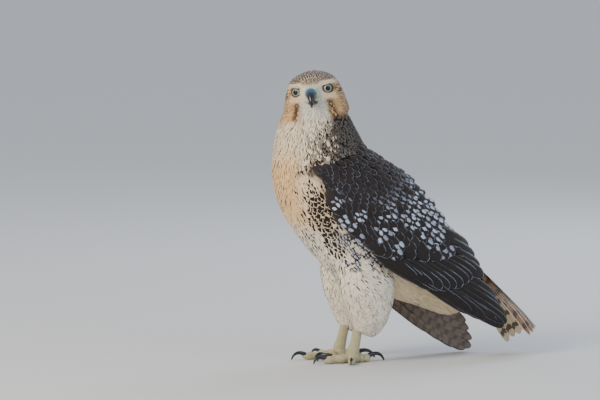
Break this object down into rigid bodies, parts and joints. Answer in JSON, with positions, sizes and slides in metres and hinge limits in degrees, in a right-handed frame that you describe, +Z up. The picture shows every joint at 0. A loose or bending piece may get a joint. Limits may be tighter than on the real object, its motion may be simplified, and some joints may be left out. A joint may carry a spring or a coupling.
{
  "type": "hawk model",
  "caption": "Life-size still model of a young red-tailed hawk standing on both feet, wings folded and head turned to its left.",
  "frame": {"origin": "on the floor, under the middle of the model's footprint box", "axes": "+X to the bird's left, -Y the way its body faces, +Z up"},
  "size_m": [0.1808, 0.4424, 0.4618],
  "materials": {
    "horn": "polished dark horn",
    "cere": "soft waxy skin",
    "eye": "wet and clear",
    "scaly_skin": "dry scaly skin",
    "leg_feather": "soft feather",
    "wing_feather": "firm feather, faint sheen",
    "tail_feather": "firm feather, faint sheen",
    "head_feather": "short soft feather",
    "body_feather": "soft feather"
  },
  "bodies": {
    "root": {"neck": "head_feather", "torso": "body_feather", "rump": "body_feather", "head": "head_feather", "cere": "cere", "bill_upper": "horn", "bill_lower": "horn", "eye_left": "eye", "eye_right": "eye", "tail": "tail_feather", "thigh_left": "leg_feather", "tarsus_left": "scaly_skin", "foot_left": "scaly_skin", "wing_left": "wing_feather", "claw_left_inner": "horn", "claw_left_middle": "horn", "claw_left_outer": "horn", "claw_left_hind": "horn", "thigh_right": "leg_feather", "tarsus_right": "scaly_skin", "foot_right": "scaly_skin", "wing_right": "wing_feather", "claw_right_inner": "horn", "claw_right_middle": "horn", "claw_right_outer": "horn", "claw_right_hind": "horn"}
  },
  "joints": []
}
